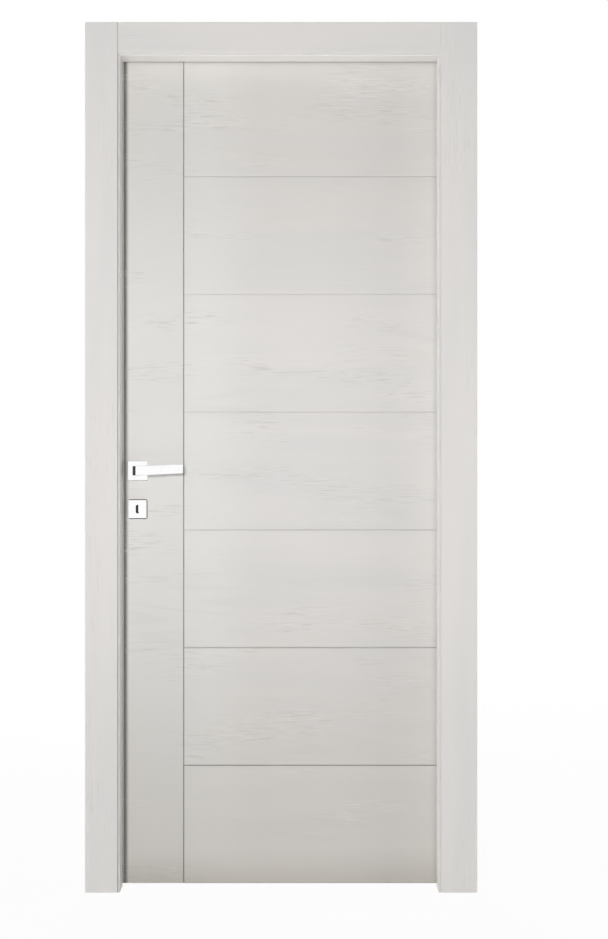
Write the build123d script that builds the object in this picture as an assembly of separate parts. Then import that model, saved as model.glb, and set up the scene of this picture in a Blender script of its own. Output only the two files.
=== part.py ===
from build123d import *
import os
from math import radians, tan

# Interior door: a grooved flush leaf in a rebated timber frame, with casings on both wall
# faces, a lever set on square rosettes and three pin hinges. Millimetres, +Z up, +Y through
# the wall from the stop side to the hinge side. The origin is on the hinge jamb's wall face,
# at floor level, in the middle of the wall.

# Doorway and wall
CLEAR_WIDTH = 800.0
CLEAR_HEIGHT = 2100.0
WALL_THICKNESS = 105.0

# Jamb section
JAMB_BOARD = 28.0
STOP_OVERLAP = 12.0
LEAF_CLEARANCE = 5.0
TOP_CLEARANCE = 8.0
STOP_GAP = 8.0
NOSE_WIDTH = 5.0
NOSE_PROUD = 7.5
FRAME_ARRIS = 1.5

# Casings
LOCK_CASING_WIDTH = 82.0
HINGE_CASING_WIDTH = 92.0
HEAD_CASING_WIDTH = 78.0
BACK_CASING_WIDTH = 56.0
BACK_REVEAL = 9.0
CASING_THICKNESS = 10.0
CASING_ARRIS = 1.5

# Seal strips in the stops
GASKET_OFFSET = 6.0
GASKET_PROUD = 3.0
GASKET_BARB_WIDTH = 2.6
GASKET_BARB_DEPTH = 5.5
GASKET_CLEARANCE = 0.2

# Leaf
LEAF_THICKNESS = 44.0
FLOOR_GAP = 5.0
SKIN = 5.0
LOCK_STILE_WIDTH = 125.0
HINGE_STILE_WIDTH = 60.0
TOP_RAIL_HEIGHT = 60.0
BOTTOM_RAIL_HEIGHT = 90.0
ROWS = 7
STILE_BAND_WIDTH = 167.0
GROOVE_WIDTH = 3.4
GROOVE_FLOOR = 1.4
GROOVE_DEPTH = 2.4

# Lock
LEVER_HEIGHT = 1058.0
BACKSET = 50.0
KEY_DROP = 98.0
KEYHOLE_WIDTH = 9.0
KEYHOLE_HEIGHT = 22.0
KEYWAY_CLEARANCE = 5.0
CASE_HEIGHT = 175.0
CASE_DEPTH = 78.0
CASE_THICKNESS = 15.0
CASE_DROP = 48.0
FOREND_HEIGHT = 235.0
FOREND_WIDTH = 22.0
FOREND_THICKNESS = 3.0
BOLT_HEIGHT = 32.0
BOLT_THICKNESS = 9.0
BOLT_LENGTH = 34.0
LATCH_DROP = 12.0
DEAD_BOLT_DROP = 84.0
BOLT_CLEARANCE = 0.3
STRIKE_HEIGHT = 170.0
STRIKE_THICKNESS = 2.5
STRIKE_WINDOW_MARGIN = 2.0
STRIKE_POCKET = 10.0
SEAT_CLEARANCE = 0.2

# Lever set
ROSETTE_SIZE = 50.0
ROSETTE_THICKNESS = 8.0
ROSETTE_EDGE = 0.6
ESCUTCHEON_CORNER = 4.0
ESCUTCHEON_BEVEL_WIDTH = 2.0
ESCUTCHEON_BEVEL_DEPTH = 0.8
LEVER_LENGTH = 119.0
LEVER_PROJECTION = 50.0
LEVER_BAR_THICKNESS = 10.0
LEVER_ROOT_HEIGHT = 24.5
LEVER_TIP_HEIGHT = 22.5
LEVER_RISE_DEG = 2.3
NECK_WIDTH = 17.0
NECK_FACET_WIDTH = 8.8
NECK_FACET_DEPTH = 3.6
NECK_FILLET = 6.0
LEVER_EDGE = 0.8
SHANK_RADIUS = 8.0
SHANK_CLEARANCE = 0.3
LEVER_FLOAT = 0.5
SPINDLE_SIZE = 8.0
SPINDLE_REACH = 26.0
SPINDLE_CLEARANCE = 0.1
FOLLOWER_CLEARANCE = 0.5
LEVER_HOLE_RADIUS = 11.0

# Hinges
HINGE_HEIGHT = 102.0
HINGE_END_DISTANCE = 230.0
PLATE_WIDTH = 30.0
PLATE_THICKNESS = 2.5
PIN_PROUD = 8.0
KNUCKLE_RADIUS = 6.0
KNUCKLE_GAP = 0.5
KNUCKLE_EDGE = 1.0
PIN_RADIUS = 3.5
PIN_CLEARANCE = 0.05

# Planes through the wall
WALL_FRONT = -WALL_THICKNESS / 2
WALL_BACK = WALL_THICKNESS / 2
NOSE_FRONT = WALL_FRONT - NOSE_PROUD
LEAF_BACK = WALL_BACK
LEAF_FRONT = LEAF_BACK - LEAF_THICKNESS
LEAF_MIDDLE = (LEAF_FRONT + LEAF_BACK) / 2
CORE_FRONT = LEAF_FRONT + SKIN
CORE_BACK = LEAF_BACK - SKIN
STOP_BACK = LEAF_FRONT - STOP_GAP

# Places across the doorway
STOP_DEPTH = STOP_OVERLAP + LEAF_CLEARANCE
JAMB_THICKNESS = JAMB_BOARD + STOP_DEPTH
HINGE_WALL_X = 0.0
HINGE_STOP_X = HINGE_WALL_X - JAMB_THICKNESS
HINGE_REBATE_X = HINGE_STOP_X + STOP_DEPTH
LEAF_HINGE_X = HINGE_STOP_X + STOP_OVERLAP
LOCK_STOP_X = HINGE_STOP_X - CLEAR_WIDTH
LOCK_REBATE_X = LOCK_STOP_X - STOP_DEPTH
LOCK_WALL_X = LOCK_STOP_X - JAMB_THICKNESS
LEAF_LOCK_X = LOCK_STOP_X - STOP_OVERLAP
BAND_GROOVE_X = LEAF_LOCK_X + STILE_BAND_WIDTH

# Heights
HEAD_STOP_Z = CLEAR_HEIGHT
HEAD_WALL_Z = HEAD_STOP_Z + JAMB_THICKNESS
LEAF_BOTTOM_Z = FLOOR_GAP
LEAF_TOP_Z = HEAD_STOP_Z + STOP_DEPTH - TOP_CLEARANCE
ROW_HEIGHT = (LEAF_TOP_Z - LEAF_BOTTOM_Z) / ROWS
FRONT_TOP = NOSE_WIDTH + HEAD_CASING_WIDTH
BACK_INNER = STOP_DEPTH + BACK_REVEAL
BACK_TOP = BACK_INNER + BACK_CASING_WIDTH

# Lever axis, key axis and hinge pin axis
LEVER_X = LEAF_LOCK_X + BACKSET
LEVER_Z = LEVER_HEIGHT
KEY_Z = LEVER_Z - KEY_DROP
PIN_X = (HINGE_REBATE_X + LEAF_HINGE_X) / 2
PIN_Y = LEAF_BACK + PIN_PROUD
TOP_HINGE_Z = LEAF_TOP_Z - HINGE_END_DISTANCE
BOTTOM_HINGE_Z = LEAF_BOTTOM_Z + HINGE_END_DISTANCE
HINGE_HEIGHTS = {
    "top": TOP_HINGE_Z,
    "middle": (TOP_HINGE_Z + BOTTOM_HINGE_Z) / 2,
    "bottom": BOTTOM_HINGE_Z,
}


def block(x, y, z):
    """Box between pairs of x, y and z limits, each pair in either order."""
    spans = [sorted(pair) for pair in (x, y, z)]
    sizes = [high - low for low, high in spans]
    middle = [(low + high) / 2 for low, high in spans]
    return Pos(*middle) * Box(*sizes)


def strip(u, v):
    """Flat rectangle between pairs of u and v limits."""
    return Pos(sum(u) / 2, sum(v) / 2) * Rectangle(abs(u[1] - u[0]), abs(v[1] - v[0]))


def about(middle, size):
    """Pair of limits, size apart, about a middle."""
    return middle - size / 2, middle + size / 2


def upright(section, side, height):
    """Section (u outward from the stop edge, v through the wall) stood up from the floor."""
    if side == "hinge":
        plane = Plane(origin=(HINGE_STOP_X, 0, 0), x_dir=(1, 0, 0), z_dir=(0, 0, 1))
    else:
        plane = Plane(origin=(LOCK_STOP_X, 0, 0), x_dir=(-1, 0, 0), z_dir=(0, 0, -1))
    return extrude(plane * section, amount=height, dir=(0, 0, 1))


def lintel(section, left_x, right_x):
    """The same kind of section (u upward from the head stop) laid across the doorway."""
    plane = Plane(origin=(right_x, 0, HEAD_STOP_Z), x_dir=(0, 0, 1), z_dir=(-1, 0, 0))
    return extrude(plane * section, amount=right_x - left_x, dir=(-1, 0, 0))


def through(sketch, x, z, y_front, y_back):
    """Sketch set square to the wall at (x, z) and pushed from y_front to y_back."""
    plane = Plane(origin=(x, y_front, z), x_dir=(1, 0, 0), z_dir=(0, 1, 0))
    return extrude(plane * sketch, amount=y_back - y_front, dir=(0, 1, 0))


def elevation(points):
    """Prism with an elevation outline (x, z), as deep as the frame."""
    face = Plane.XZ * Polygon(*points, align=None)
    return Pos(0, NOSE_FRONT, 0) * extrude(face, amount=WALL_BACK - NOSE_FRONT, dir=(0, 1, 0))


def mitre_outline(member):
    """Elevation of a frame member up to its mitres with the neighbours."""
    hinge_corner = [(HINGE_STOP_X, HEAD_STOP_Z), (HINGE_WALL_X, HEAD_WALL_Z)]
    lock_corner = [(LOCK_STOP_X, HEAD_STOP_Z), (LOCK_WALL_X, HEAD_WALL_Z)]
    if member == "hinge":
        return elevation(hinge_corner + [(HINGE_WALL_X, 0), (HINGE_STOP_X, 0)])
    if member == "lock":
        return elevation(lock_corner + [(LOCK_WALL_X, 0), (LOCK_STOP_X, 0)])
    return elevation(hinge_corner + lock_corner[::-1])


def mitred(section, member):
    """Frame member of one section, cut at its mitres."""
    if member == "head":
        return lintel(section, LOCK_WALL_X, HINGE_WALL_X) & mitre_outline(member)
    return upright(section, member, HEAD_WALL_Z) & mitre_outline(member)


def gasket_barb(clearance):
    """Barb that holds a seal strip in its kerf in the stop."""
    u = about(GASKET_OFFSET, GASKET_BARB_WIDTH + 2 * clearance)
    return strip(u, (STOP_BACK, STOP_BACK - GASKET_BARB_DEPTH - clearance))


def board_section():
    """Jamb board behind the stop, its inner edge eased on the hinge side of the wall."""
    board = strip((STOP_DEPTH, JAMB_THICKNESS), (WALL_FRONT, WALL_BACK))
    edge = board.vertices().sort_by_distance((STOP_DEPTH, WALL_BACK))[0]
    return fillet(edge, FRAME_ARRIS)


def stop_section():
    """Stop that the leaf closes on: a nose beside the casing and a kerf for the seal."""
    outline = Polygon(
        (0, NOSE_FRONT),
        (NOSE_WIDTH, NOSE_FRONT),
        (NOSE_WIDTH, WALL_FRONT),
        (STOP_DEPTH, WALL_FRONT),
        (STOP_DEPTH, STOP_BACK),
        (0, STOP_BACK),
        align=None,
    )
    outline = fillet(outline.vertices().group_by(Axis.Y)[0], FRAME_ARRIS)
    return outline - gasket_barb(GASKET_CLEARANCE)


def gasket_section():
    """Half-round seal strip on a barb."""
    bulb = Pos(GASKET_OFFSET, STOP_BACK) * Circle(GASKET_PROUD)
    half = strip(about(GASKET_OFFSET, 2 * GASKET_PROUD), (STOP_BACK, STOP_BACK + GASKET_PROUD))
    return (bulb & half) + gasket_barb(0)


def casing_plate(inner, width, facing):
    """Casing board with eased face edges."""
    seat = facing * WALL_THICKNESS / 2
    plate = strip((inner, inner + width), (seat, seat + facing * CASING_THICKNESS))
    rows = plate.vertices().group_by(Axis.Y)
    return fillet(rows[0] if facing < 0 else rows[-1], CASING_ARRIS)


def head_casing(inner, width, facing):
    """Casing over the doorway, butted between the two uprights."""
    return lintel(casing_plate(inner, width, facing), LOCK_STOP_X - inner, HINGE_STOP_X + inner)


def hinge_plate(edge_x, inward, z, clearance):
    """Hinge plate let into an edge: inward is the way from the edge into the timber."""
    x = (edge_x, edge_x + inward * PLATE_THICKNESS)
    y = (LEAF_BACK - PLATE_WIDTH - clearance, LEAF_BACK)
    return block(x, y, about(z, HINGE_HEIGHT + 2 * clearance))


def hinge_knuckle(edge_x, inward, low, high):
    """Barrel about the pin axis, with the strap that carries it from its plate."""
    barrel = Pos(PIN_X, PIN_Y, (low + high) / 2) * Cylinder(KNUCKLE_RADIUS, high - low)
    barrel = chamfer(barrel.edges().filter_by(GeomType.CIRCLE), KNUCKLE_EDGE)
    strap = block((edge_x, edge_x + inward * PLATE_THICKNESS), (LEAF_BACK, PIN_Y), (low, high))
    return barrel + strap


def hinge_frame_half(z):
    """Plate in the jamb, upper and lower knuckles, and the pin through all three."""
    third = HINGE_HEIGHT / 3
    low, high = about(z, HINGE_HEIGHT)
    half = hinge_plate(HINGE_REBATE_X, 1, z, 0)
    half += hinge_knuckle(HINGE_REBATE_X, 1, low, low + third - KNUCKLE_GAP)
    half += hinge_knuckle(HINGE_REBATE_X, 1, high - third + KNUCKLE_GAP, high)
    return half + Pos(PIN_X, PIN_Y, z) * Cylinder(PIN_RADIUS, HINGE_HEIGHT - 2 * KNUCKLE_EDGE)


def hinge_leaf_half(z):
    """Plate in the leaf's edge and the middle knuckle, bored for the pin."""
    third = HINGE_HEIGHT / 3
    low, high = about(z, HINGE_HEIGHT)
    half = hinge_plate(LEAF_HINGE_X, -1, z, 0)
    half += hinge_knuckle(LEAF_HINGE_X, -1, low + third, high - third)
    return half - Pos(PIN_X, PIN_Y, z) * Cylinder(PIN_RADIUS + PIN_CLEARANCE, HINGE_HEIGHT)


def groove(length):
    """Tapered groove cutter along +Z, opening towards -Y at the face plane y = 0."""
    profile = Polygon(
        (-GROOVE_WIDTH / 2, 0),
        (GROOVE_WIDTH / 2, 0),
        (GROOVE_FLOOR / 2, GROOVE_DEPTH),
        (-GROOVE_FLOOR / 2, GROOVE_DEPTH),
        align=None,
    )
    return extrude(profile, amount=length)


def groove_pattern():
    """One upright groove and the level grooves from it to the hinge edge."""
    cuts = [Pos(BAND_GROOVE_X, 0, LEAF_BOTTOM_Z) * groove(LEAF_TOP_Z - LEAF_BOTTOM_Z)]
    level = Rot(0, 90, 0) * groove(LEAF_HINGE_X - BAND_GROOVE_X)
    for row in range(1, ROWS):
        cuts.append(Pos(BAND_GROOVE_X, 0, LEAF_BOTTOM_Z + row * ROW_HEIGHT) * level)
    return cuts


def keyway(y_front, y_back, clearance):
    """Obround keyhole cutter."""
    width = KEYHOLE_WIDTH + 2 * clearance
    height = KEYHOLE_HEIGHT + 2 * clearance
    return through(SlotOverall(height, width, rotation=90), LEVER_X, KEY_Z, y_front, y_back)


def lever_hole(radius, y_front, y_back):
    """Round hole about the lever axis."""
    return through(Circle(radius), LEVER_X, LEVER_Z, y_front, y_back)


def leaf_skin(y_front, y_back, face_y, facing):
    """Grooved face board, with the lever hole and keyhole through it."""
    board = block((LEAF_LOCK_X, LEAF_HINGE_X), (y_front, y_back), (LEAF_BOTTOM_Z, LEAF_TOP_Z))
    for cut in groove_pattern():
        board -= Pos(0, face_y, 0) * (cut if facing < 0 else mirror(cut, about=Plane.XZ))
    board -= lever_hole(LEVER_HOLE_RADIUS, y_front, y_back)
    return board - keyway(y_front, y_back, KEYWAY_CLEARANCE)


def bolt_mortise(drop, length, clearance):
    """Space of a latch or dead bolt drawn in behind the forend's face."""
    z = about(LEVER_Z - drop, BOLT_HEIGHT + 2 * clearance)
    y = about(LEAF_MIDDLE, BOLT_THICKNESS + 2 * clearance)
    return block((LEAF_LOCK_X, LEAF_LOCK_X + length + clearance), y, z)


def edge_plate(x, height, thickness, clearance):
    """Round-ended plate let into an upright edge at x; a negative thickness goes towards -X."""
    plane = Plane(origin=(x, LEAF_MIDDLE, LEVER_Z - CASE_DROP), x_dir=(0, 0, 1), z_dir=(1, 0, 0))
    outline = SlotOverall(height + 2 * clearance, FOREND_WIDTH + 2 * clearance)
    return extrude(plane * outline, amount=thickness, dir=(1, 0, 0))


def forend_plate(clearance):
    """Face plate of the lock, flush in the leaf's lock edge."""
    return edge_plate(LEAF_LOCK_X, FOREND_HEIGHT, FOREND_THICKNESS, clearance)


def case_block(clearance):
    """Body of the lock behind its forend."""
    back = LEAF_LOCK_X + FOREND_THICKNESS
    z = about(LEVER_Z - CASE_DROP, CASE_HEIGHT + 2 * clearance)
    y = about(LEAF_MIDDLE, CASE_THICKNESS + 2 * clearance)
    return block((back, back + CASE_DEPTH + clearance), y, z)


def lock_case():
    """Lock body with the bolt channels, the follower hole and the keyhole."""
    case = case_block(0)
    for drop in (LATCH_DROP, DEAD_BOLT_DROP):
        case -= bolt_mortise(drop, BOLT_LENGTH, BOLT_CLEARANCE)
    follower = SPINDLE_SIZE / 2**0.5 + FOLLOWER_CLEARANCE
    case -= lever_hole(follower, CORE_FRONT, CORE_BACK)
    return case - keyway(CORE_FRONT, CORE_BACK, 0)


def lock_forend():
    """Forend with windows for the two bolts."""
    plate = forend_plate(0)
    for drop in (LATCH_DROP, DEAD_BOLT_DROP):
        plate -= bolt_mortise(drop, BOLT_LENGTH, BOLT_CLEARANCE)
    return plate


def lock_stile():
    """Stile on the lock side, mortised for the lock and drilled for lever and key."""
    x = (LEAF_LOCK_X, LEAF_LOCK_X + LOCK_STILE_WIDTH)
    stile = block(x, (CORE_FRONT, CORE_BACK), (LEAF_BOTTOM_Z, LEAF_TOP_Z))
    stile -= forend_plate(SEAT_CLEARANCE)
    stile -= case_block(SEAT_CLEARANCE)
    stile -= lever_hole(LEVER_HOLE_RADIUS, CORE_FRONT, CORE_BACK)
    return stile - keyway(CORE_FRONT, CORE_BACK, KEYWAY_CLEARANCE)


def hinge_stile():
    """Stile on the hinge side, with the hinge mortises in its edge."""
    x = (LEAF_HINGE_X - HINGE_STILE_WIDTH, LEAF_HINGE_X)
    stile = block(x, (CORE_FRONT, CORE_BACK), (LEAF_BOTTOM_Z, LEAF_TOP_Z))
    for z in HINGE_HEIGHTS.values():
        stile -= hinge_plate(LEAF_HINGE_X, -1, z, SEAT_CLEARANCE)
    return stile


def rail(low, high):
    """Cross rail between the stiles."""
    x = (LEAF_LOCK_X + LOCK_STILE_WIDTH, LEAF_HINGE_X - HINGE_STILE_WIDTH)
    return block(x, (CORE_FRONT, CORE_BACK), (low, high))


def back_skin():
    """Face board on the hinge side, notched for the hinge plates."""
    board = leaf_skin(CORE_BACK, LEAF_BACK, LEAF_BACK, 1)
    for z in HINGE_HEIGHTS.values():
        board -= hinge_plate(LEAF_HINGE_X, -1, z, SEAT_CLEARANCE)
    return board


def strike_windows(start_x, depth):
    """Openings for the two bolts in the strike, or the pockets behind it."""
    margin = STRIKE_WINDOW_MARGIN
    y = about(LEAF_MIDDLE, BOLT_THICKNESS + 2 * margin)
    windows = []
    for drop in (LATCH_DROP, DEAD_BOLT_DROP):
        z = about(LEVER_Z - drop, BOLT_HEIGHT + 2 * margin)
        windows.append(block((start_x, start_x - depth), y, z))
    return windows


def strike_blank(clearance):
    """Strike plate outline, flush in the lock jamb's rebate."""
    return edge_plate(LOCK_REBATE_X, STRIKE_HEIGHT, -STRIKE_THICKNESS, clearance)


def strike_plate():
    """Strike plate with its two bolt windows."""
    plate = strike_blank(0)
    for window in strike_windows(LOCK_REBATE_X, STRIKE_THICKNESS):
        plate -= window
    return plate


def lock_jamb():
    """Jamb on the lock side, let in for the strike and pocketed behind it."""
    jamb = mitred(board_section(), "lock") - strike_blank(SEAT_CLEARANCE)
    for pocket in strike_windows(LOCK_REBATE_X, STRIKE_THICKNESS + STRIKE_POCKET):
        jamb -= pocket
    return jamb


def hinge_jamb():
    """Jamb on the hinge side, let in for the hinge plates."""
    jamb = mitred(board_section(), "hinge")
    for z in HINGE_HEIGHTS.values():
        jamb -= hinge_plate(HINGE_REBATE_X, 1, z, SEAT_CLEARANCE)
    return jamb


def set_on_leaf(piece, z, facing):
    """Piece modelled outward along +Y from a face at y = 0, set on either face of the leaf."""
    if facing < 0:
        return Pos(LEVER_X, LEAF_FRONT, z) * mirror(piece, about=Plane.XZ)
    return Pos(LEVER_X, LEAF_BACK, z) * piece


def square_plate(corner, bevel_width, bevel_depth):
    """Rosette or escutcheon plate with a bevelled face edge."""
    outline = Rectangle(ROSETTE_SIZE, ROSETTE_SIZE)
    if corner > 0:
        outline = fillet(outline.vertices(), corner)
    plate = through(outline, 0, 0, 0, ROSETTE_THICKNESS)
    face = plate.faces().sort_by(Axis.Y)[-1]
    return chamfer(face.edges(), bevel_width, bevel_depth, reference=face)


def rosette(facing):
    """Square rose with a round bearing for the lever's shank."""
    plate = square_plate(0, ROSETTE_EDGE, ROSETTE_EDGE)
    plate -= through(Circle(SHANK_RADIUS + SHANK_CLEARANCE), 0, 0, 0, ROSETTE_THICKNESS)
    return set_on_leaf(plate, LEVER_Z, facing)


def escutcheon(facing):
    """Square key plate with rounded corners and an obround keyhole."""
    plate = square_plate(ESCUTCHEON_CORNER, ESCUTCHEON_BEVEL_WIDTH, ESCUTCHEON_BEVEL_DEPTH)
    hole = SlotOverall(KEYHOLE_HEIGHT, KEYHOLE_WIDTH, rotation=90)
    plate -= through(hole, 0, 0, 0, ROSETTE_THICKNESS)
    return set_on_leaf(plate, KEY_Z, facing)


def lever_plan():
    """Plan of the lever: neck out from the rose, a facet at the heel, then the grip along the leaf."""
    foot = ROSETTE_THICKNESS + LEVER_FLOAT
    grip_back = LEVER_PROJECTION - LEVER_BAR_THICKNESS
    plan = Polygon(
        (-NECK_WIDTH / 2, foot),
        (NECK_WIDTH / 2, foot),
        (NECK_WIDTH / 2, grip_back),
        (LEVER_LENGTH, grip_back),
        (LEVER_LENGTH, LEVER_PROJECTION),
        (-NECK_WIDTH / 2 + NECK_FACET_WIDTH, LEVER_PROJECTION),
        (-NECK_WIDTH / 2, LEVER_PROJECTION - NECK_FACET_DEPTH),
        align=None,
    )
    inner_corner = plan.vertices().sort_by_distance((NECK_WIDTH / 2, grip_back))[0]
    return fillet(inner_corner, NECK_FILLET)


def lever_elevation():
    """Elevation of the lever: tapering towards the tip and rising a little."""
    slope = tan(radians(LEVER_RISE_DEG))
    heel = -NECK_WIDTH / 2
    points = [
        (heel, heel * slope - LEVER_ROOT_HEIGHT / 2),
        (LEVER_LENGTH, LEVER_LENGTH * slope - LEVER_TIP_HEIGHT / 2),
        (LEVER_LENGTH, LEVER_LENGTH * slope + LEVER_TIP_HEIGHT / 2),
        (heel, heel * slope + LEVER_ROOT_HEIGHT / 2),
    ]
    face = Plane.XZ * Polygon(*points, align=None)
    return extrude(face, amount=LEVER_PROJECTION, dir=(0, 1, 0))


def lever(facing):
    """Lever with its round shank in the rose and a square socket for the spindle."""
    blank = extrude(lever_plan(), amount=LEVER_LENGTH, both=True)
    grip = blank & lever_elevation()
    grip = chamfer(grip.edges(), LEVER_EDGE)
    grip += through(Circle(SHANK_RADIUS), 0, 0, 0, ROSETTE_THICKNESS + LEVER_FLOAT)
    socket = SPINDLE_SIZE + 2 * SPINDLE_CLEARANCE
    grip -= through(Rectangle(socket, socket), 0, 0, 0, SPINDLE_REACH)
    return set_on_leaf(grip, LEVER_Z, facing)


def lever_spindle():
    """Square bar through the lock from one lever to the other."""
    bar = Rectangle(SPINDLE_SIZE, SPINDLE_SIZE)
    return through(bar, LEVER_X, LEVER_Z, LEAF_FRONT - SPINDLE_REACH, LEAF_BACK + SPINDLE_REACH)


def frame_parts():
    """Jambs, stops, seals, casings, strike and the frame's hinge halves."""
    front_back = {
        "front": (NOSE_WIDTH, LOCK_CASING_WIDTH, HINGE_CASING_WIDTH, HEAD_CASING_WIDTH, FRONT_TOP, -1),
        "back": (BACK_INNER, BACK_CASING_WIDTH, BACK_CASING_WIDTH, BACK_CASING_WIDTH, BACK_TOP, 1),
    }
    parts = {
        "lock_jamb": lock_jamb(),
        "hinge_jamb": hinge_jamb(),
        "head_jamb": mitred(board_section(), "head"),
        "strike_plate": strike_plate(),
    }
    for member in ("lock", "hinge", "head"):
        parts[f"{member}_stop"] = mitred(stop_section(), member)
        parts[f"{member}_gasket"] = mitred(gasket_section(), member)
    for face, (inner, left, right, head, top, facing) in front_back.items():
        for side, end, width in (("lock", "left", left), ("hinge", "right", right)):
            plate = casing_plate(inner, width, facing)
            parts[f"{face}_casing_{end}"] = upright(plate, side, HEAD_STOP_Z + top)
        parts[f"{face}_casing_head"] = head_casing(inner, head, facing)
    for name, z in HINGE_HEIGHTS.items():
        parts[f"hinge_frame_half_{name}"] = hinge_frame_half(z)
    return parts


def leaf_parts():
    """Leaf boards, lock, furniture plates and the leaf's hinge halves."""
    parts = {
        "leaf_front_skin": leaf_skin(LEAF_FRONT, CORE_FRONT, LEAF_FRONT, -1),
        "leaf_back_skin": back_skin(),
        "lock_stile": lock_stile(),
        "hinge_stile": hinge_stile(),
        "top_rail": rail(LEAF_TOP_Z - TOP_RAIL_HEIGHT, LEAF_TOP_Z),
        "bottom_rail": rail(LEAF_BOTTOM_Z, LEAF_BOTTOM_Z + BOTTOM_RAIL_HEIGHT),
        "lock_case": lock_case(),
        "lock_forend": lock_forend(),
        "latch_bolt": bolt_mortise(LATCH_DROP, BOLT_LENGTH, 0),
        "dead_bolt": bolt_mortise(DEAD_BOLT_DROP, BOLT_LENGTH, 0),
    }
    for face, facing in (("front", -1), ("back", 1)):
        parts[f"{face}_rosette"] = rosette(facing)
        parts[f"{face}_escutcheon"] = escutcheon(facing)
    for name, z in HINGE_HEIGHTS.items():
        parts[f"hinge_leaf_half_{name}"] = hinge_leaf_half(z)
    return parts


def lever_parts():
    """Pieces that turn with the lever."""
    return {
        "front_lever": lever(-1),
        "back_lever": lever(1),
        "lever_spindle": lever_spindle(),
    }


os.makedirs("parts", exist_ok=True)
for node, shape in {**frame_parts(), **leaf_parts(), **lever_parts()}.items():
    export_step(shape, f"parts/{node}.step")
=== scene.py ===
# %% [markdown]
# # An interior door in a plain studio
# The real object is a flush leaf in a rebated timber frame. The leaf is faced with white
# lacquered ash whose open pores still show, it carries a few fine grooves, and a polished
# lever set is the only metal on its face. Every solid comes ready made in a packed frame, in
# metres, so this lesson only dresses it: finishes, small fasteners, light and a camera.
# The box of the untouched solids is kept, to compare with the dressed door at the end.

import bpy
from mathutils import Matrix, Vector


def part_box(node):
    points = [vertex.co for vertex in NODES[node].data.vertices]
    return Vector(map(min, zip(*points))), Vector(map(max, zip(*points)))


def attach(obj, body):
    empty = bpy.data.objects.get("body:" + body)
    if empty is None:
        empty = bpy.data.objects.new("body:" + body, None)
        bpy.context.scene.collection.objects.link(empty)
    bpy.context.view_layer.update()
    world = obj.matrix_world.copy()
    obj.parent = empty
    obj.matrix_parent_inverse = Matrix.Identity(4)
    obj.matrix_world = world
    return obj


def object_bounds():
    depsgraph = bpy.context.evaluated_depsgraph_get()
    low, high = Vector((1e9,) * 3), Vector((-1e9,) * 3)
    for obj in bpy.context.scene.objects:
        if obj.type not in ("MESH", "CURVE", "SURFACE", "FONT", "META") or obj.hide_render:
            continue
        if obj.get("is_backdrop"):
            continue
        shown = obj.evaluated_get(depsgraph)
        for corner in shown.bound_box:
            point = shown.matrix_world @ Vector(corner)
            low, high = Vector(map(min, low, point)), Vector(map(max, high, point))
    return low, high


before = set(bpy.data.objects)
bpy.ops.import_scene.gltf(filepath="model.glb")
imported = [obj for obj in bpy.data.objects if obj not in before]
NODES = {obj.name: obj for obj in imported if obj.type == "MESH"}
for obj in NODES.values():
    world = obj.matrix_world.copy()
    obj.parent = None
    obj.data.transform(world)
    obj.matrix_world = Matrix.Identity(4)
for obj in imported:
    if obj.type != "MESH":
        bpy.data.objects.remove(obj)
CAD_BOX = [list(corner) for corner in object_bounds()]
print(len(NODES), "solids between", CAD_BOX)

# %% [markdown]
# ## Camera
# The door is seen square on, from the middle of its height, so its uprights stay parallel.
# A wide lens close by would show too much of the reveals, and a very long lens would hide
# them. The eye stands 3.8 m from the casings, which shows the reveal on the lock side as a
# strip a few pixels wide. The lens then follows from how many metres one pixel covers.

# %% Camera
import bpy
from mathutils import Vector

IMAGE_HEIGHT = 939
METRES_A_PIXEL = 0.002507
SENSOR = 36.0
EYE_DISTANCE = 3.8
EYE_ACROSS = -0.3827
EYE_HEIGHT = 1.061
EYE = Vector((EYE_ACROSS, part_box("front_casing_left")[0].y - EYE_DISTANCE, EYE_HEIGHT))
SQUARE_ON = Vector((0, 1, 0))

scene = bpy.context.scene
scene.view_settings.view_transform = "Standard"
lens = bpy.data.cameras.new("eye")
lens.sensor_width = SENSOR
lens.lens = SENSOR * EYE_DISTANCE / (IMAGE_HEIGHT * METRES_A_PIXEL)
eye = bpy.data.objects.new("eye", lens)
eye.location = EYE
eye.rotation_euler = SQUARE_ON.to_track_quat("-Z", "Y").to_euler()
scene.collection.objects.link(eye)
scene.camera = eye
print("lens", round(lens.lens, 2), "mm at", tuple(round(v, 3) for v in EYE))

# %% [markdown]
# ## Shader maths as plain expressions
# A finish is a small calculation on the place of a point: stretch it, take noise, compare,
# mix. Wiring that by hand hides the idea, so one class wraps a socket and lets Python's own
# operators add the Math nodes. Colours and vectors have methods of their own, because a Math
# node would turn a colour grey.

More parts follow.
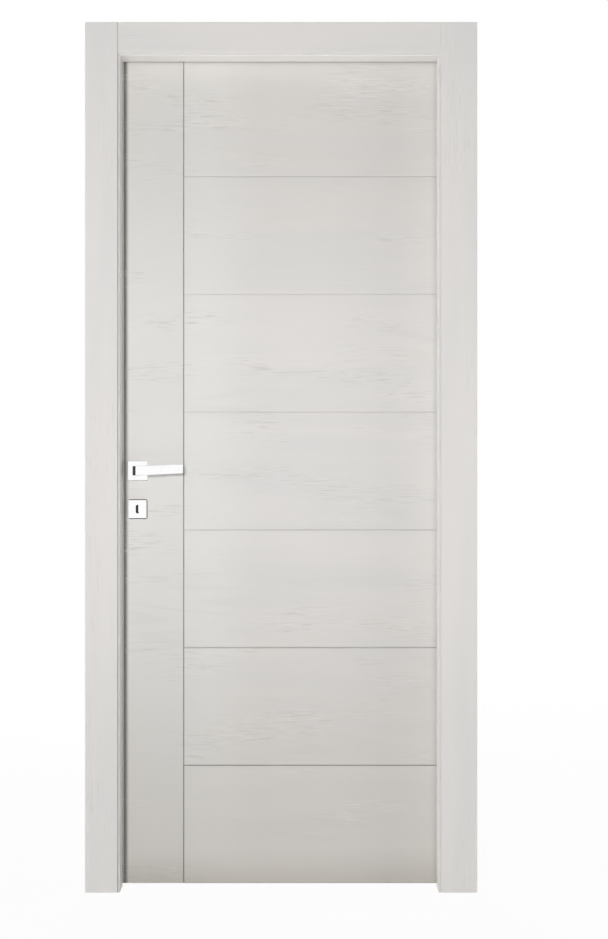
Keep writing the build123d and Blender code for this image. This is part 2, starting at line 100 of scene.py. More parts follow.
# %% A socket with operators
class Shade:
    """A node's output socket. Arithmetic on it adds nodes to the same tree."""

    def __init__(self, socket):
        self.socket = socket
        self.tree = socket.id_data

    @staticmethod
    def feed(target, value):
        """Links a Shade to a socket, or sets a plain value on it."""
        if isinstance(value, Shade):
            value.tree.links.new(value.socket, target)
        else:
            target.default_value = value

    @classmethod
    def make(cls, tree, kind, settings, inputs, output=0):
        """Any node: its type, its settings first, then the values or links of its sockets."""
        node = tree.nodes.new("ShaderNode" + kind)
        for name, value in settings.items():
            setattr(node, name, value)
        for name, value in inputs.items():
            cls.feed(node.inputs[name], value)
        return cls(node.outputs[output])

    def math(self, operation, *values):
        """A Math node on one value or two."""
        return Shade.make(self.tree, "Math", {"operation": operation}, dict(enumerate(values)))

    def __add__(self, other):
        return self.math("ADD", self, other)

    def __radd__(self, other):
        return self.math("ADD", other, self)

    def __sub__(self, other):
        return self.math("SUBTRACT", self, other)

    def __rsub__(self, other):
        return self.math("SUBTRACT", other, self)

    def __mul__(self, other):
        return self.math("MULTIPLY", self, other)

    def __rmul__(self, other):
        return self.math("MULTIPLY", other, self)

    def __or__(self, other):
        """The larger of two masks."""
        return self.math("MAXIMUM", self, other)

    def __abs__(self):
        return self.math("ABSOLUTE", self)

    def __round__(self):
        """The nearest whole number."""
        return self.math("ROUND", self)

    def wave(self):
        """The sine of a value in radians."""
        return self.math("SINE", self)

    def rise(self, low, high):
        """0 below low, 1 above high, and a soft step between them."""
        settings = {"interpolation_type": "SMOOTHSTEP"}
        inputs = {"Value": self, "From Min": low, "From Max": high}
        return Shade.make(self.tree, "MapRange", settings, inputs)

    def fall(self, low, high):
        """1 below low, 0 above high, and a soft step between them."""
        return 1.0 - self.rise(low, high)

    def axes(self):
        """X, Y and Z of a vector."""
        split = Shade.make(self.tree, "SeparateXYZ", {}, {"Vector": self})
        return [Shade(output) for output in split.socket.node.outputs]

    def scaled(self, factors):
        """A vector times a vector."""
        return Shade.make(self.tree, "VectorMath", {"operation": "MULTIPLY"}, {0: self, 1: factors})

    def shifted(self, offset):
        """A vector plus a vector."""
        return Shade.make(self.tree, "VectorMath", {"operation": "ADD"}, {0: self, 1: offset})

    def mix(self, low, high):
        """A colour between two, with this socket as the share of the second."""
        colour_a, colour_b, colour_out = 6, 7, 2
        inputs = {"Factor": self, colour_a: low, colour_b: high}
        return Shade.make(self.tree, "Mix", {"data_type": "RGBA"}, inputs, colour_out)


print("reflected operators:", [name for name in vars(Shade) if name in ("__radd__", "__rsub__", "__rmul__")])

# %% [markdown]
# A few helpers are shared by all finishes. Noise is stretched along the grain or the brush
# marks by scaling the place before it is read. A colour is written as the eye reads it on
# screen, in 0 to 255, and turned into the linear value that the shader works with.

# %% Colour and noise
def linear(red, green, blue):
    """A screen colour, 0 to 255, as a linear colour."""
    parts = [value / 255 for value in (red, green, blue)]
    return tuple(p / 12.92 if p < 0.04045 else ((p + 0.055) / 1.055) ** 2.4 for p in parts) + (1.0,)


def noise(place, rates, detail=2.0, output=0):
    """Noise from 0 to 1, with that many features a metre along X, Y and Z."""
    inputs = {"Vector": place.scaled(rates), "Scale": 1.0, "Detail": detail}
    return Shade.make(place.tree, "TexNoise", {}, inputs, output)


print("a screen grey of 128 is", round(linear(128, 128, 128)[0], 3), "in linear light")

# %% [markdown]
# Every finish starts the same way: a new material, its shader, and the place of a point. The
# place is read in the object's own space, so the finish stays on its piece when a body moves.

# %% A new finish
def new_finish(name):
    """A material with its shader and the place of a point on the object."""
    material = bpy.data.materials.new(name)
    material.use_nodes = True
    tree = material.node_tree
    shader = tree.nodes["Principled BSDF"]
    place = Shade.make(tree, "TexCoord", {}, {}, "Object")
    return material, shader, place


def relief(shader, height, depth):
    """Bump from a height of 0 to 1, that deep in metres."""
    inputs = {"Height": height, "Distance": depth, "Strength": 1.0}
    Shade.feed(shader.inputs["Normal"], Shade.make(height.tree, "Bump", {}, inputs))


def paint(material, *names):
    """Gives named solids a finish."""
    for name in names:
        NODES[name].data.materials.clear()
        NODES[name].data.materials.append(material)
    print(material.name, "on", len(names), "solids")


print(len(NODES), "solids wait for a finish")

# %% [markdown]
# ## White ash lacquer
# The boards are faced with ash, brushed so that the soft early wood drops back, then sprayed
# with a thin warm white lacquer. What is left of the wood is its relief: long fine pores, a
# shade darker where the lacquer runs into them, over a faint cloudiness. A photograph of wood
# would do, but it repeats and carries its own light, so noise is stretched along the grain
# instead. The grain runs level on the leaf and the head pieces, and upright on the uprights.

# %% Ash ground
LACQUER = linear(223, 220, 217)
LACQUER_COOL = linear(219, 217, 215)
CLOUD_RATES = (1.5, 14.0)
CLOUD_EDGES = (0.3, 0.7)


def by_axis(along, along_value, across_value):
    """A value for each axis: one along the grain, another across it."""
    return tuple(along_value if axis == along else across_value for axis in "XYZ")


def grain_noise(place, along, rates, detail=1.0, output=0):
    """Noise with the first rate along the grain and the second across it."""
    return noise(place, by_axis(along, *rates), detail, output)


def ash_ground(place, along):
    """The slow cloudiness under the grain, as a share and a colour."""
    cloud = grain_noise(place, along, CLOUD_RATES, 2.0)
    return cloud, cloud.rise(*CLOUD_EDGES).mix(LACQUER, LACQUER_COOL)


print("the ground clouds", CLOUD_RATES, "times a metre, along and across the grain")

# %% [markdown]
# The pores are one noise, stretched twenty times longer than wide. It is read twice, a couple
# of millimetres apart: the first reading is the dark pore, the second the bright ridge that
# the brush left beside it. A broad noise lets the pairs show in patches, as the wood's growth
# does, and a slow one bends every line a little.

# %% Pores in pairs
WANDER = 0.02
WANDER_RATES = (2.0, 5.0)
PAIR_APART = 0.0022
STREAK_RATES = (20.0, 380.0)
STREAK_EDGES = (0.52, 0.71)
PATCH_RATES = (2.6, 11.0)
PATCH_EDGES = (0.50, 0.66)
PATCH_SHARE = 0.9
PLAIN_SHARE = 0.08
RIDGE_SHARE = 0.55


def bent(place, along):
    """A place pushed across the grain by a slow noise, so that no line runs dead straight."""
    wander = grain_noise(place, along, WANDER_RATES, output="Color").shifted((-0.5, -0.5, -0.5))
    return place.shifted(wander.scaled(by_axis(along, 0.0, WANDER)))


def pore_pairs(place, along, contrast):
    """Shares of the dark pores and of the bright ridges beside them."""
    spots = (place, place.shifted(by_axis(along, 0.0, PAIR_APART)))
    pore, ridge = [grain_noise(spot, along, STREAK_RATES).rise(*STREAK_EDGES) for spot in spots]
    patches = grain_noise(place, along, PATCH_RATES, 2.0).rise(*PATCH_EDGES)
    share = (patches * PATCH_SHARE + PLAIN_SHARE) * contrast
    return pore * share, ridge * share * RIDGE_SHARE


print("pores and ridges lie", PAIR_APART * 1000, "mm apart")

# %% [markdown]
# A board sawn beside the heart shows nested arches. A wave drawn over a slow noise gives such
# lines, because they follow its contours, and they fade in and out in places of their own. A
# last and finest noise adds the specks that the lacquer leaves in short pores.

# %% Flames and specks
FIGURE_RATES = (0.8, 8.0)
FIGURE_TURNS = 70.0
FIGURE_EDGES = (0.2, 1.0)
FLAME_RATES = (2.0, 6.0)
FLAME_EDGES = (0.50, 0.70)
FLAME_SHARE = 0.22
SPECK_RATES = (45.0, 900.0)
SPECK_EDGES = (0.52, 0.75)
SPECK_SHARE = 0.15


def flames(place, along, contrast):
    """Share of the arches of a sawn board."""
    arches = (grain_noise(place, along, FIGURE_RATES) * FIGURE_TURNS).wave().rise(*FIGURE_EDGES)
    places = grain_noise(place, along, FLAME_RATES).rise(*FLAME_EDGES)
    return arches * places * (FLAME_SHARE * contrast)


def specks(place, along, contrast):
    """Share of the short fine pores."""
    return grain_noise(place, along, SPECK_RATES, 2.0).rise(*SPECK_EDGES) * (SPECK_SHARE * contrast)


def ash_grain(place, along, contrast):
    """Shares of all that is dark in the grain, and of its bright ridges."""
    place = bent(place, along)
    pores, ridges = pore_pairs(place, along, contrast)
    return pores | flames(place, along, contrast) | specks(place, along, contrast), ridges


print("arches have", FLAME_SHARE, "and specks", SPECK_SHARE, "of the pores' contrast")

# %% [markdown]
# On the frame the grain is calm, so its contrast is low. The lock-side casing meets its jamb
# in a hair joint, and painted shade draws it as a dark line at the casing's own edge. The
# darker pores are also duller and lie deeper, so tone, gloss and bump share a mask.

# %% Ash on the frame
PORE_SHADE = linear(190, 186, 180)
RIDGE_SHADE = linear(240, 239, 237)
PORE_DEPTH = 0.0001
ASH_ROUGHNESS = 0.40
PORE_ROUGHER = 0.2
CLOUD_ROUGHER = 0.08
# This dark is painted shade: in the lock-side joint, in the leaf's grooves and as the shadow beside the
# lock-side stop.
CREASE_SHADE = linear(112, 109, 104)
JOINT_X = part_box("front_casing_left")[1].x
JOINT_EDGES = (0.0005, 0.0016)
JOINT_DEPTHS = (-0.056, -0.052)
JOINT_SHARE = 0.4
FRAME_CONTRAST = 0.25


def ash_shader(shader, grain, cloud, ground):
    """Feeds tone, gloss and relief of the grain to a shader."""
    pores, ridges = grain
    Shade.feed(shader.inputs["Base Color"], ridges.mix(pores.mix(ground, PORE_SHADE), RIDGE_SHADE))
    Shade.feed(shader.inputs["Roughness"], ASH_ROUGHNESS + pores * PORE_ROUGHER + cloud * CLOUD_ROUGHER)
    relief(shader, 1.0 - pores, PORE_DEPTH)


def joint_shade(place):
    """Share of painted shade in the joint beside the inner edge of the lock-side front casing."""
    across, depth, _ = place.axes()
    return abs(across - JOINT_X).fall(*JOINT_EDGES) * depth.fall(*JOINT_DEPTHS) * JOINT_SHARE


def ash_lacquer(name, along):
    """White open-pore ash on the frame, with its grain along one axis."""
    material, shader, place = new_finish(name)
    cloud, ground = ash_ground(place, along)
    ground = joint_shade(place).mix(ground, CREASE_SHADE)
    ash_shader(shader, ash_grain(place, along, FRAME_CONTRAST), cloud, ground)
    return material


paint(ash_lacquer("ash_lacquer_level", "X"),
      "front_casing_head", "back_casing_head", "head_jamb", "head_stop")
paint(ash_lacquer("ash_lacquer_upright", "Z"),
      "front_casing_left", "front_casing_right", "back_casing_left", "back_casing_right",
      "lock_jamb", "hinge_jamb", "lock_stop", "hinge_stop")

# %% [markdown]
# ## The leaf's painted highlight and shade
# The leaf has the same ash with its grain level. A painted highlight lightens the band beside
# the lock, and painted shade greys the leaf a little towards the head and more towards the foot.
# These are slow changes over the whole board, so they are soft steps along its width and
# height, mixed into the ground before the grain.

# %% Leaf tone
# The lighter band beside the lock is a painted highlight.
PAINTED_SHEEN_TONE = linear(238, 237, 234)
PAINTED_SHADE_TONE = linear(186, 181, 173)
BAND_WIDTH = 0.167
leaf_low, leaf_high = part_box("leaf_front_skin")
BAND_EDGE = leaf_low.x + BAND_WIDTH
SHEEN_EDGES = (BAND_EDGE - 0.02, BAND_EDGE + 0.22)
SHEEN_SHARE = 0.75
# Towards the foot and the head the leaf is greyed by painted shade.
FOOT_HEIGHTS = (0.0, 0.95)
FOOT_SHARE = 0.48
BASE_SHADE_HEIGHTS = (0.0, 0.10)
BASE_SHADE_SHARE = 0.35
HEAD_HEIGHTS = (1.30, 2.0)
HEAD_SHARE = 0.27


def leaf_tone(across, height, ground):
    """The ground, with a painted highlight beside the lock and painted shade at the foot and the head."""
    light = across.fall(*SHEEN_EDGES) * SHEEN_SHARE
    foot = height.fall(*FOOT_HEIGHTS) * FOOT_SHARE + height.fall(*BASE_SHADE_HEIGHTS) * BASE_SHADE_SHARE
    worn = foot + height.rise(*HEAD_HEIGHTS) * HEAD_SHARE
    return worn.mix(light.mix(ground, PAINTED_SHEEN_TONE), PAINTED_SHADE_TONE)


print("the band beside the lock ends at x", round(BAND_EDGE, 4))

# %% [markdown]
# The grooves are cut in the solid, and painted shade darkens them. The upright groove has it all
# the way, and the level ones have more the nearer they are to the floor. A level groove is
# found by its distance to the nearest whole row. A narrow painted shadow also runs along the
# lock-side stop, a few millimetres from its edge.

# %% Leaf finish
ROWS = 7
ROW = (leaf_high.z - leaf_low.z) / ROWS
GROOVE_EDGES = (0.0009, 0.0017)
GROOVE_STARTS = (BAND_EDGE - 0.001, BAND_EDGE)
GROOVE_SHADE_HEIGHTS = (0.2, 1.1)
LEVEL_SHARE = 0.62
UPRIGHT_SHARE = 0.6
STOP_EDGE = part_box("lock_stop")[1].x
LINE_STARTS = (STOP_EDGE + 0.0022, STOP_EDGE + 0.0032)
LINE_FADES = (STOP_EDGE + 0.0048, STOP_EDGE + 0.0165)
FRONT_DEPTHS = (0.02, 0.03)
LINE_SHARE = 0.97
LEAF_CONTRAST = 0.50


def groove_shade(across, height):
    """Share of painted shade in the grooves."""
    row = (height - leaf_low.z) * (1 / ROW)
    level = (abs(row - round(row)) * ROW).fall(*GROOVE_EDGES) * across.rise(*GROOVE_STARTS)
    upright = abs(across - BAND_EDGE).fall(*GROOVE_EDGES)
    return level * height.fall(*GROOVE_SHADE_HEIGHTS) * LEVEL_SHARE | upright * UPRIGHT_SHARE


def stop_shadow(across, depth):
    """Share of painted shadow beside the lock-side stop, on the front of the leaf."""
    return across.rise(*LINE_STARTS) * depth.fall(*FRONT_DEPTHS) * across.fall(*LINE_FADES) * LINE_SHARE


def leaf_lacquer():
    """Level ash with the leaf's painted highlight and shade, shade in its grooves and a shadow beside the
    stop, all painted.
    """
    material, shader, place = new_finish("ash_lacquer_leaf")
    across, depth, height = place.axes()
    cloud, ground = ash_ground(place, "X")
    # Painted shade in the grooves and a painted shadow beside the lock-side stop.
    dust = groove_shade(across, height) | stop_shadow(across, depth)
    ground = dust.mix(leaf_tone(across, height, ground), CREASE_SHADE)
    ash_shader(shader, ash_grain(place, "X", LEAF_CONTRAST), cloud, ground)
    return material


paint(leaf_lacquer(), "leaf_front_skin", "leaf_back_skin")

# %% [markdown]
# ## Lacquered edges
# The narrow edges of the leaf are banded and sprayed with the same white, but the band is
# plain: no flame shows, only the spray's fine orange peel. A soft three-dimensional noise in
# the bump gives that, with very small changes of tone and gloss.

# %% Edge lacquer
PEEL_RATES = (700.0, 700.0, 700.0)
PEEL_DEPTH = 0.00004
BAND_CLOUD_RATES = (6.0, 6.0, 6.0)
BAND_ROUGHNESS = 0.36
BAND_ROUGHER = 0.1


def edge_lacquer():
    """Sprayed white on the banded edges of the leaf."""
    material, shader, place = new_finish("edge_lacquer")
    cloud = noise(place, BAND_CLOUD_RATES, 3.0)
    Shade.feed(shader.inputs["Base Color"], cloud.rise(*CLOUD_EDGES).mix(LACQUER, LACQUER_COOL))
    Shade.feed(shader.inputs["Roughness"], BAND_ROUGHNESS + cloud * BAND_ROUGHER)
    relief(shader, noise(place, PEEL_RATES), PEEL_DEPTH)
    return material


paint(edge_lacquer(), "lock_stile", "hinge_stile", "top_rail", "bottom_rail")

# %% [markdown]
# ## Polished chrome
# Plated and polished metal has almost no colour of its own: it shows the room. Its life is
# in what dulls it, so faint finger marks and hairlines from cleaning raise the roughness a
# little here and there. The keyholes' walls carry painted shade, dark and a little rougher.
# The painted shade is a box about the keyway, a little shorter than the lock with its two plates.

# %% Polished chrome
CHROME = linear(253, 253, 253)
CHROME_TOUCHED = linear(249, 249, 250)
# The dark in the keyholes is painted shade.
KEYHOLE_DARK = linear(34, 33, 32)
KEYHOLE_ROUGHER = 0.6
FINGER_RATES = (90.0, 90.0, 60.0)
FINGER_EDGES = (0.5, 0.8)
HAIRLINE_RATES = (60.0, 900.0, 2200.0)
HAIRLINE_EDGES = (0.6, 0.8)
HAIRLINE_DEPTH = 0.000004
CHROME_ROUGHNESS = 0.03
FINGER_ROUGHER = 0.03
HAIRLINE_ROUGHER = 0.02


def polished_chrome(name, shade_mask=None):
    """Bright chrome plate with faint finger marks, and painted shade where a share of it is given."""
    material, shader, place = new_finish(name)
    fingers = noise(place, FINGER_RATES, 3.0).rise(*FINGER_EDGES)
    hairlines = noise(place, HAIRLINE_RATES, 1.0).rise(*HAIRLINE_EDGES)
    tone = fingers.mix(CHROME, CHROME_TOUCHED)
    roughness = CHROME_ROUGHNESS + fingers * FINGER_ROUGHER + hairlines * HAIRLINE_ROUGHER
    if shade_mask:
        share = shade_mask(place)
        tone = share.mix(tone, KEYHOLE_DARK)
        roughness = roughness + share * KEYHOLE_ROUGHER
    Shade.feed(shader.inputs["Base Color"], tone)
    Shade.feed(shader.inputs["Roughness"], roughness)
    shader.inputs["Metallic"].default_value = 1.0
    relief(shader, hairlines, HAIRLINE_DEPTH)
    return material


paint(polished_chrome("polished_chrome"), "front_lever", "back_lever", "front_rosette", "back_rosette")

# %% Painted shade in the keyholes
KEYHOLE_ENDS = ((0.0110, 0.0112), (0.0292, 0.0296), (0.0140, 0.0142))


def keyhole_shade_share(place):
    """1 where the keyhole's painted shade goes: its walls and the plates' hidden backs about it."""
    plate_low, plate_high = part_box("front_escutcheon")
    case_low, case_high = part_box("lock_case")
    hole = (plate_low + plate_high) / 2
    hole.y = (case_low.y + case_high.y) / 2
    apart = place.shifted(-hole).axes()
    shares = [abs(reach).fall(*ends) for reach, ends in zip(apart, KEYHOLE_ENDS)]
    return shares[0] * shares[1] * shares[2]


paint(polished_chrome("key_plate_chrome", keyhole_shade_share), "front_escutcheon", "back_escutcheon")

# %% [markdown]
# ## Satin and brushed metal
# The hinges are satin chrome and the lock's plates are brushed steel. Both carry fine lines
# left by the belt, upright on these pieces. The lines are a noise stretched along Z that
# works on the roughness and a very shallow bump, and a slow noise adds handling marks. The
# lock's case is painted dark, for the shade seen through the keyhole.

# %% Brushed metals
BRUSH_RATES = (1500.0, 1500.0, 25.0)
HANDLING_RATES = (40.0, 40.0, 25.0)
HANDLING_EDGES = (0.45, 0.75)
BRUSH_SHARE = 0.6
HANDLING_SHARE = 0.4
BRUSH_ROUGHER = 0.14
HANDLING_ROUGHER = 0.06
SATIN_DEPTH = 0.00001
BELT_DEPTH = 0.000015


def brushed_metal(name, colour, dull, roughness, line_depth):
    """Metal with upright brush lines."""
    material, shader, place = new_finish(name)
    lines = noise(place, BRUSH_RATES, 3.0)
    marks = noise(place, HANDLING_RATES, 3.0).rise(*HANDLING_EDGES)
    worn = lines * BRUSH_SHARE + marks * HANDLING_SHARE
    Shade.feed(shader.inputs["Base Color"], worn.mix(colour, dull))
    Shade.feed(shader.inputs["Roughness"], roughness + lines * BRUSH_ROUGHER + marks * HANDLING_ROUGHER)
    shader.inputs["Metallic"].default_value = 1.0
    relief(shader, lines, line_depth)
    return material


satin_chrome = brushed_metal("satin_chrome", linear(222, 222, 224), linear(196, 196, 199), 0.22, SATIN_DEPTH)
# The lock case is painted dark, for the shade seen through the keyhole.
case_painted_shade = brushed_metal("lock_case_painted_shade", linear(74, 73, 72), linear(46, 45, 44), 0.5, BELT_DEPTH)
lock_steel = brushed_metal("lock_steel", linear(208, 208, 208), linear(176, 175, 173), 0.26, BELT_DEPTH)
HINGES = [name for name in NODES if name.startswith("hinge_") and "_half_" in name]
paint(satin_chrome, *HINGES)
paint(lock_steel, "strike_plate", "lock_forend", "latch_bolt", "dead_bolt", "lever_spindle")
paint(case_painted_shade, "lock_case")

# %% [markdown]
# ## Seal rubber
# The seal in the stops is a dark extruded strip. It is matt, slightly uneven, and dusty where
# it isn't rubbed. One noise spreads the dust, and a finer one roughens the skin.

# %% Seal rubber
RUBBER = linear(62, 61, 60)
RUBBER_DUSTY = linear(92, 90, 87)
RUBBER_DUST_RATES = (160.0, 160.0, 40.0)
RUBBER_DUST_EDGES = (0.45, 0.8)
RUBBER_ROUGHNESS = 0.62
DUST_ROUGHER = 0.2
SKIN_RATES = (900.0, 900.0, 900.0)
SKIN_DEPTH = 0.00003


def seal_rubber():
    """Dark grey extruded rubber with a little dust."""
    material, shader, place = new_finish("seal_rubber")
    dust = noise(place, RUBBER_DUST_RATES, 3.0).rise(*RUBBER_DUST_EDGES)
    Shade.feed(shader.inputs["Base Color"], dust.mix(RUBBER, RUBBER_DUSTY))
    Shade.feed(shader.inputs["Roughness"], RUBBER_ROUGHNESS + dust * DUST_ROUGHER)
    relief(shader, noise(place, SKIN_RATES), SKIN_DEPTH)
    return material


paint(seal_rubber(), "lock_gasket", "hinge_gasket", "head_gasket")

# %% [markdown]
# ## Screws
# Hinges, strike and forend are screwed on with flat heads, and a small set screw under each
# lever's neck grips the spindle. A turned head is a disc with a chamfered rim and a pressed
# driver pocket, so each one is built from rings: floor, rim, top, pocket edge and pocket
# floor. The pocket's edge is a cross for the flat heads and a hexagon for the set screws.

# %% Driver pockets
import math

POCKET_REACH = 0.55
CROSS_HALF_WIDTH = 0.16
HEXAGON_SIDES = 6


def round_outline(count):
    """Points of a unit circle."""
    angles = [2 * math.pi * step / count for step in range(count)]
    return [(math.cos(angle), math.sin(angle)) for angle in angles]


def cross_outline(half_width, reach):
    """The same three points of an arm, turned through four quarters."""
    arm = [(half_width, half_width), (half_width, reach), (-half_width, reach)]
    outline = []
    for _ in range(4):
        outline += arm
        arm = [(-y, x) for x, y in arm]
    return outline


CROSS = cross_outline(CROSS_HALF_WIDTH, POCKET_REACH)
HEXAGON = [(POCKET_REACH * x, POCKET_REACH * y) for x, y in round_outline(HEXAGON_SIDES)]
print("a cross of", len(CROSS), "points and a hexagon of", len(HEXAGON))

# %% One head
import bmesh

SUNK = 0.0006
PROUD = 0.0003
RIM_SIDES = 24
RIM_SHARE = 0.93
RIM_HEIGHT = PROUD * 0.5
POCKET_SHARE = 0.82
POCKET_HEIGHT = PROUD * 0.2


def add_head(mesh, turn, radius, pocket):
    """One head about the local Z axis, from its sunk floor up to its proud top."""
    def ring(outline, share, height):
        reach = radius * share
        return [mesh.verts.new(turn @ Vector((reach * x, reach * y, height))) for x, y in outline]

    def band(low, high):
        for step in range(len(low)):
            mesh.faces.new((low[step - 1], low[step], high[step], high[step - 1]))

    disc = round_outline(RIM_SIDES)
    floor, rim, top = ring(disc, 1.0, -SUNK), ring(disc, 1.0, RIM_HEIGHT), ring(disc, RIM_SHARE, PROUD)
    edge, bottom = ring(pocket, 1.0, PROUD), ring(pocket, POCKET_SHARE, POCKET_HEIGHT)
    band(floor, rim)
    band(rim, top)
    band(edge, bottom)
    mesh.faces.new(floor[::-1])
    mesh.faces.new(bottom)
    pairs = [(loop[step - 1], loop[step]) for loop in (top, edge) for step in range(len(loop))]
    loops = [mesh.edges.get(pair) or mesh.edges.new(pair) for pair in pairs]
    bmesh.ops.triangle_fill(mesh, edges=loops, use_beauty=True)


print("a head stands", PROUD * 1000, "mm proud and reaches", SUNK * 1000, "mm down")

# %% [markdown]
# The heads of one place are joined in one mesh that rides on the body they are driven into.
# Each head stops at its own angle, as a screwdriver leaves it, and the draw is seeded by the
# count of heads, so that every run gives the same angles.

# %% A piece of screws
import random
from mathutils import Matrix

METALS = {"satin_chrome": satin_chrome, "lock_steel": lock_steel}


def screws(name, body, slot, places, facing, radius, pocket):
    """One piece with a head at each place, all facing the same way."""
    mesh = bmesh.new()
    spin = random.Random(len(places))
    lay = Vector(facing).to_track_quat("Z", "Y").to_matrix().to_4x4()
    for place in places:
        turn = Matrix.Translation(place) @ lay @ Matrix.Rotation(spin.uniform(0, math.pi), 4, "Z")
        add_head(mesh, turn, radius, pocket)
    bmesh.ops.recalc_face_normals(mesh, faces=mesh.faces)
    data = bpy.data.meshes.new(name)
    mesh.to_mesh(data)
    piece = bpy.data.objects.new(name, data)
    data.materials.append(METALS[slot])
    scene.collection.objects.link(piece)
    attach(piece, body)
    print(name, len(places), "heads,", len(data.polygons), "faces")


print("screws in", sorted(METALS))

# %% [markdown]
# Four screws hold each hinge plate, in the usual zigzag, so that they don't split one line
# of the wood. The strike and the forend have one at each end. Their places are read from the
# solids that carry them.

# %% Hinge screws
HINGE_HEAD = 0.0042
ZIGZAG = ((0.0085, -0.038), (0.0205, -0.0135), (0.0085, 0.0135), (0.0205, 0.038))


def hinge_places(kind, face_x):
    """Screw places on the three plates of one kind."""
    places = []
    for node in [name for name in HINGES if kind in name]:
        low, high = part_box(node)
        heart = (low.z + high.z) / 2
        places += [Vector((face_x, low.y + across, heart + up)) for across, up in ZIGZAG]
    return places


frame_places = hinge_places("frame_half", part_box("hinge_jamb")[0].x)
leaf_places = hinge_places("leaf_half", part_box("hinge_stile")[1].x)
screws("hinge_frame_screws", "frame", "satin_chrome", frame_places, (-1, 0, 0), HINGE_HEAD, CROSS)
screws("hinge_leaf_screws", "leaf", "satin_chrome", leaf_places, (1, 0, 0), HINGE_HEAD, CROSS)

# %% Lock screws
PLATE_HEAD = 0.0038
STRIKE_INSET = 0.015
FOREND_INSET = 0.013


def end_places(node, face_x, inset):
    """One place near each end of an upright plate."""
    low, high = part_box(node)
    return [Vector((face_x, (low.y + high.y) / 2, z)) for z in (low.z + inset, high.z - inset)]


strike_places = end_places("strike_plate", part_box("strike_plate")[1].x, STRIKE_INSET)
forend_places = end_places("lock_forend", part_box("lock_forend")[0].x, FOREND_INSET)
screws("strike_screws", "frame", "lock_steel", strike_places, (1, 0, 0), PLATE_HEAD, CROSS)
screws("forend_screws", "leaf", "lock_steel", forend_places, (-1, 0, 0), PLATE_HEAD, CROSS)

# %% [markdown]
# A set screw sits under each lever, where the neck meets the spindle. The underside there
# rises a little towards the tip, so the screw's axis leans with it.

# %% Set screws
GRUB_HEAD = 0.0026
GRUB_IN = 0.0255
GRUB_UP = 0.0004
UNDERSIDE = (0.048, 0, -1)
front_low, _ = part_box("front_lever")
back_low, back_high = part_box("back_lever")
spindle_x = sum(corner.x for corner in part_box("lever_spindle")) / 2
grubs = [Vector((spindle_x, front_low.y + GRUB_IN, front_low.z + GRUB_UP)),
         Vector((spindle_x, back_high.y - GRUB_IN, back_low.z + GRUB_UP))]
screws("lever_grub_screws", "lever", "lock_steel", grubs, UNDERSIDE, GRUB_HEAD, HEXAGON)

# %% [markdown]
# ## Floor and surroundings
# The studio is white. The floor is an ordinary pale matt surface for the light that falls on
# the door, but the camera, and the chrome, see it almost as bright as the background, so that
# it melts into it and keeps only a breath of the door's shadow.

# %% Floor finish
WHITE = (1, 1, 1, 1)
FLOOR_TONES = ((0.84, 0.84, 0.84, 1), (0.88, 0.88, 0.88, 1))
SPECKLE_RATES = (30.0, 30.0, 30.0)
SHADOW_SHARE = 0.05
SHADOW_REACH = (1.6, 4.2)


def seen(tree):
    """1 for rays that show the background: from the eye, a mirror or a pane."""
    path = [Shade.make(tree, "LightPath", {}, {}, name)
            for name in ("Is Camera Ray", "Is Glossy Ray", "Is Transmission Ray")]
    return path[0] | path[1] | path[2]


def floor_finish():
    """Pale matt floor that is shown nearly white."""
    material = bpy.data.materials.new("studio_floor")
    material.use_nodes = True
    tree = material.node_tree
    tree.nodes.remove(tree.nodes["Principled BSDF"])
    place = Shade.make(tree, "TexCoord", {}, {}, "Object")
    away = Shade.make(tree, "VectorMath", {"operation": "LENGTH"}, {0: place}, "Value")
    speckle = noise(place, SPECKLE_RATES, 4.0)
    matt = Shade.make(tree, "BsdfDiffuse", {}, {"Color": speckle.mix(*FLOOR_TONES)})
    white = Shade.make(tree, "Emission", {}, {"Color": WHITE})
    shown = seen(tree) * (1.0 - SHADOW_SHARE * away.fall(*SHADOW_REACH))
    both = Shade.make(tree, "MixShader", {}, {0: shown, 1: matt, 2: white})
    Shade.feed(tree.nodes["Material Output"].inputs["Surface"], both)
    return material


print("the eye sees", SHADOW_SHARE, "of the floor's own shade near the door")

# %% Floor
FLOOR_REACH = 9.0
CORNERS = [(-1, -1), (1, -1), (1, 1), (-1, 1)]
middle = (Vector(CAD_BOX[0]) + Vector(CAD_BOX[1])) / 2
sheet = bpy.data.meshes.new("studio_floor")
sheet.from_pydata([(FLOOR_REACH * x, FLOOR_REACH * y, 0) for x, y in CORNERS], [], [(0, 1, 2, 3)])
floor = bpy.data.objects.new("studio_floor", sheet)
floor.location = (middle.x, middle.y, CAD_BOX[0][2])
sheet.materials.append(floor_finish())
scene.collection.objects.link(floor)
floor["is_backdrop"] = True
print("floor at", round(floor.location.z, 3))

# %% [markdown]
# The air works in the same way. It is pure white where it is seen, and a weak even fill for
# everything that it lights.

# %% World
FILL = 0.24
world = bpy.data.worlds.new("studio")
world.use_nodes = True
scene.world = world
air = world.node_tree
soft = Shade.make(air, "Background", {}, {"Color": WHITE, "Strength": FILL})
bright = Shade.make(air, "Background", {}, {"Color": WHITE, "Strength": 1.0})
sky = Shade.make(air, "MixShader", {}, {0: seen(air), 1: soft, 2: bright})
Shade.feed(air.nodes["World Output"].inputs["Surface"], sky)
print("the air fills with", FILL)

# %% [markdown]
# ## Lamps
# Most of the light is one soft box in front, a little to the left of the lever and above it,
# so the shadows are short and soft. The door is sunk in its frame, and light from the front
# alone would leave the reveals grey, so a large box far out on each side opens the reveal
# that faces it. Neither the eye nor a mirror sees the boxes, because their glare would
# swallow the edges of the chrome.

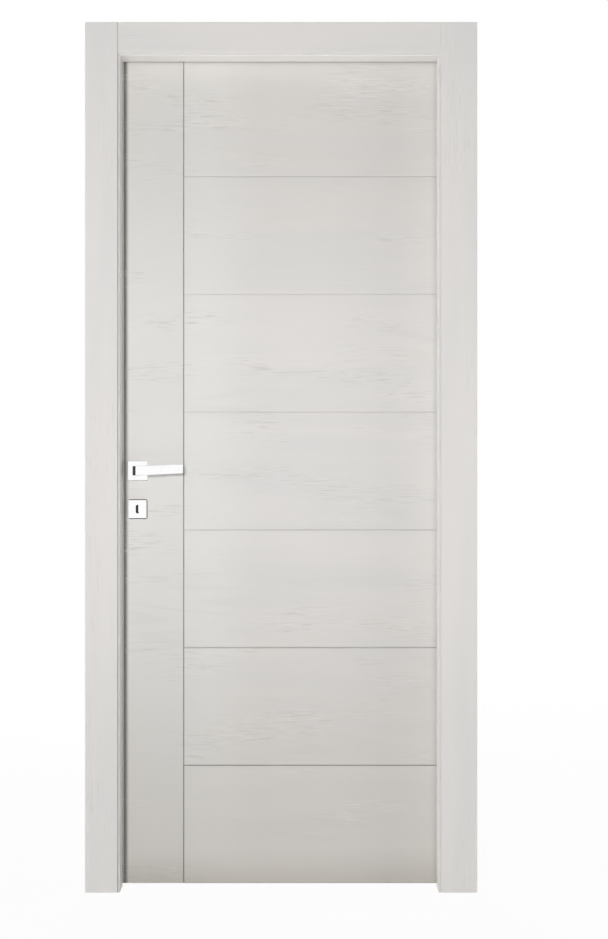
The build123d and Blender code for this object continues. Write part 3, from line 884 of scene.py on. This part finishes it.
# %% Front lamps
def soft_box(name, place, aim, size, watts, spread=180.0):
    """A rectangular lamp at a place, turned to an aim."""
    lamp = bpy.data.lights.new(name, "AREA")
    lamp.shape = "RECTANGLE"
    lamp.size, lamp.size_y = size
    lamp.energy = watts
    lamp.spread = math.radians(spread)
    stand = bpy.data.objects.new(name, lamp)
    stand.location = place
    stand.rotation_euler = (Vector(aim) - Vector(place)).to_track_quat("-Z", "Y").to_euler()
    stand.visible_glossy = False
    stand.visible_camera = False
    scene.collection.objects.link(stand)
    print(name, watts, "W at", place)


soft_box("key_box", place=(-1.15, -5.5, 1.74), aim=(-0.55, 0.0, 1.15), size=(0.90, 0.8),
         watts=77.0, spread=140.0)
soft_box("left_box", place=(-6.5, -1.70, 1.3), aim=(-0.05, 0.0, 1.1), size=(1.8, 2.4), watts=142.0)
soft_box("right_box", place=(3.3, -1.1, 1.2), aim=(-0.84, 0.0, 1.1), size=(1.2, 2.2), watts=30.0)

# %% [markdown]
# Two faint narrow lamps touch up what the large boxes miss: a strip that grazes the hinge-side
# reveal, and one on the floor that reaches up to the underside of the head. Two more stand
# behind and beside the door, for a look at its back and at the hinge side when it is open.

# %% Reveal and back lamps
soft_box("hinge_reveal_box", place=(-1.6, -0.35, 1.1), aim=(-0.04, -0.03, 1.1), size=(0.1, 2.2),
         watts=0.14, spread=20.0)
soft_box("low_box", place=(-0.45, -0.26, 0.06), aim=(-0.45, -0.03, 2.10), size=(1.2, 0.2),
         watts=0.40, spread=20.0)
soft_box("back_box", place=(-0.9, 3.6, 1.8), aim=(-0.4, 0.0, 1.0), size=(1.8, 2.0), watts=70.0)
soft_box("side_box", place=(4.0, 1.6, 1.4), aim=(0.0, 0.0, 1.1), size=(1.6, 2.2), watts=60.0)

# %% [markdown]
# ## Dark cards
# In an all-white room a mirror has no edges. A photographer sets black card about the object,
# out of the picture, and every bevel of the chrome then draws a thin dark line. The bevels and
# the facet on the levers' necks lean by about 22 degrees, so they all mirror what stands twice
# that far off the mirrored line of sight. An arch of card follows that circle over the plates,
# and a flat card on the floor serves the lower bevels. They only show in reflections.

# %% Black card
CARD_TONE = linear(24, 24, 24)
black_card = bpy.data.materials.new("black_card")
black_card.use_nodes = True
black_card.node_tree.nodes["Principled BSDF"].inputs["Base Color"].default_value = CARD_TONE


def dark_card(name, points, faces):
    """A black card that only mirrors see."""
    sheet = bpy.data.meshes.new(name)
    sheet.from_pydata(points, [], faces)
    sheet.materials.append(black_card)
    card = bpy.data.objects.new(name, sheet)
    card.visible_camera = False
    card.visible_diffuse = False
    card.visible_transmission = False
    card.visible_shadow = False
    scene.collection.objects.link(card)
    card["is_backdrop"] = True
    print(name, len(faces), "faces")


plates = (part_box("front_rosette")[0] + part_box("front_escutcheon")[1]) / 2
sight = (plates - EYE) / (plates.y - EYE.y)
print("the line of sight to the plates slopes", round(sight.x, 3), "across and", round(sight.z, 3), "up")

# %% Arch and low card
ARCH_AWAY = 1.6
ARCH_RADII = (1.40, 1.72)
ARCH_FROM = -20
ARCH_TO = 200
ARCH_STEP = 5
LOW_CARD_WIDTH = 1.6
LOW_CARD_DEPTH = 0.5
LOW_CARD_AWAY = 0.95
CARD_LIFT = 0.02

heart = plates + ARCH_AWAY * Vector((2 * sight.x, -1, 2 * sight.z))
angles = [math.radians(angle) for angle in range(ARCH_FROM, ARCH_TO + 1, ARCH_STEP)]
spokes = [Vector((math.cos(angle), 0, math.sin(angle))) for angle in angles]
rim = [heart + radius * spoke for spoke in spokes for radius in ARCH_RADII]
dark_card("card_arch", rim, [(step, step + 1, step + 3, step + 2) for step in range(0, len(rim) - 2, 2)])

low_heart = Vector((plates.x + sight.x, plates.y - LOW_CARD_AWAY, CARD_LIFT))
low_rim = [low_heart + Vector((LOW_CARD_WIDTH / 2 * x, LOW_CARD_DEPTH / 2 * y, 0)) for x, y in CORNERS]
dark_card("low_card", low_rim, [(0, 1, 2, 3)])

# %% [markdown]
# ## Sizes
# Dressing must not change the size of the door, so both boxes are written down.

shown_box = [list(corner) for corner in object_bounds()]
{"cad": CAD_BOX, "visual": shown_box}
print("cad", CAD_BOX, "dressed", shown_box)
